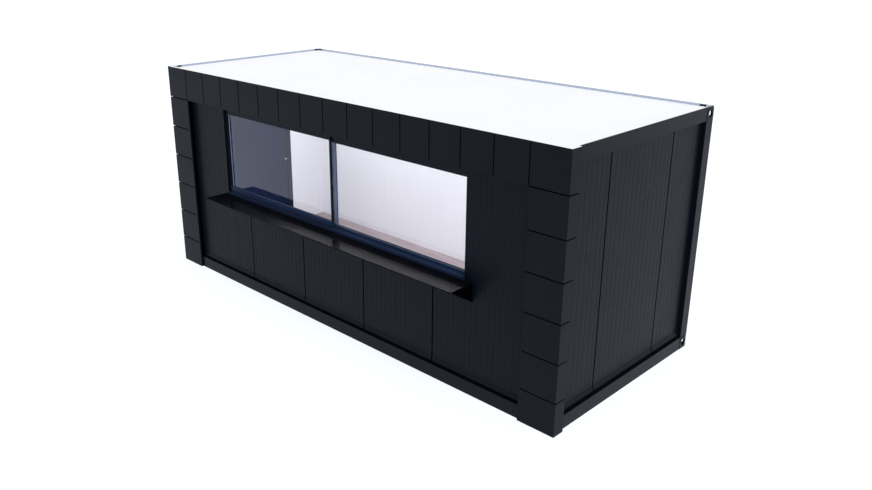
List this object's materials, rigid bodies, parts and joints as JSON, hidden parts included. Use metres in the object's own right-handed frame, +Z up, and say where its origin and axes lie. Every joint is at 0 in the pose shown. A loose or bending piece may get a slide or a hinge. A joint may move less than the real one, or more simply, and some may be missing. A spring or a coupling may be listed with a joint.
{
  "type": "sales container",
  "caption": "Steel-framed sales container with a sliding serving window over a counter ledge, a clad portal front, ribbed panel walls, a white roof and a hinged door in its left end.",
  "frame": {"origin": "on the ground, under the middle of the container's overall box, from the ledge's front edge to the rear castings", "axes": "+X along the length towards the end without a door, -Y out of the front with the serving window, +Z up"},
  "size_m": [6.04, 2.654, 2.59],
  "materials": {
    "frame_paint": "satin anthracite paint on folded steel",
    "galvanised": "dull galvanised steel",
    "laminate": "matt wood-look laminate boards",
    "wall_panel": "satin anthracite coated steel outside, white coated steel inside",
    "roof_white": "satin white coated steel",
    "cladding": "satin anthracite coated sheet",
    "window_bars": "satin blue-black powder coat",
    "glazing": "clear float glass",
    "ledge_gloss": "gloss black paint on folded sheet",
    "door_paint": "semi-gloss anthracite paint",
    "threshold": "ribbed mill-finish aluminium",
    "hinge_steel": "brushed stainless steel"
  },
  "bodies": {
    "cabin": {"lower_corner_castings": "frame_paint", "upper_corner_castings": "frame_paint", "corner_posts": "frame_paint", "front_bottom_rail": "frame_paint", "rear_bottom_rail": "frame_paint", "left_bottom_rail": "frame_paint", "right_bottom_rail": "frame_paint", "front_top_rail": "frame_paint", "rear_top_rail": "frame_paint", "left_top_rail": "frame_paint", "right_top_rail": "frame_paint", "floor_joists": "galvanised", "floor_deck": "laminate", "front_wall_left": "wall_panel", "front_wall_right": "wall_panel", "front_wall_below": "wall_panel", "front_wall_above": "wall_panel", "rear_wall": "wall_panel", "right_wall": "wall_panel", "left_wall_front": "wall_panel", "left_wall_rear": "wall_panel", "left_wall_above": "wall_panel", "roof_panel": "roof_white", "roof_rim": "roof_white", "fascia_cassettes": "cladding", "left_column_cassettes": "cladding", "right_column_cassettes": "cladding", "portal_trim": "cladding", "column_battens": "frame_paint", "fascia_batten": "frame_paint", "window_frame": "window_bars", "fixed_glass": "glazing", "sliding_sash": "window_bars", "sash_glass": "glazing", "counter_ledge": "ledge_gloss", "ledge_end_plates": "ledge_gloss", "door_frame": "door_paint", "door_threshold": "threshold", "frame_hinge_halves": "hinge_steel"},
    "door": {"door_leaf": "door_paint", "leaf_hinge_halves": "hinge_steel", "door_handles": "hinge_steel"}
  },
  "joints": [
    {"name": "door_swing", "type": "hinge", "parent": "cabin", "child": "door", "pos_m": [-2.97, -0.3505, 1.1], "axis": [0, 0, 1], "range_deg": [0, 110]}
  ]
}
